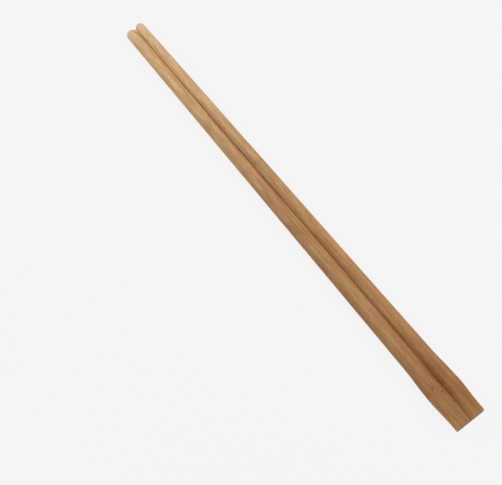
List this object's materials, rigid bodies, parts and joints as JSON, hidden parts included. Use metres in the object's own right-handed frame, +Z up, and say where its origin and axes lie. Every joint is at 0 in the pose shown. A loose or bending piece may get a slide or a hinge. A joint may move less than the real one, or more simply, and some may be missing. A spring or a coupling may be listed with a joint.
{
  "type": "twin bamboo chopsticks",
  "caption": "Disposable chopsticks milled from one bamboo strip: slim round-edged sticks with domed tips, slit apart up to a flat head that is snapped to free them.",
  "frame": {"origin": "middle of the length and of the width, on the surface that the underside lies on", "axes": "+Y along the sticks from the flat head to the domed tips, +X across the pair towards the slightly narrower stick, +Z up out of the top face"},
  "size_m": [0.0116, 0.21, 0.0048],
  "materials": {
    "bamboo": "satin"
  },
  "bodies": {
    "root": {"twin_chopsticks": "bamboo"}
  },
  "joints": []
}
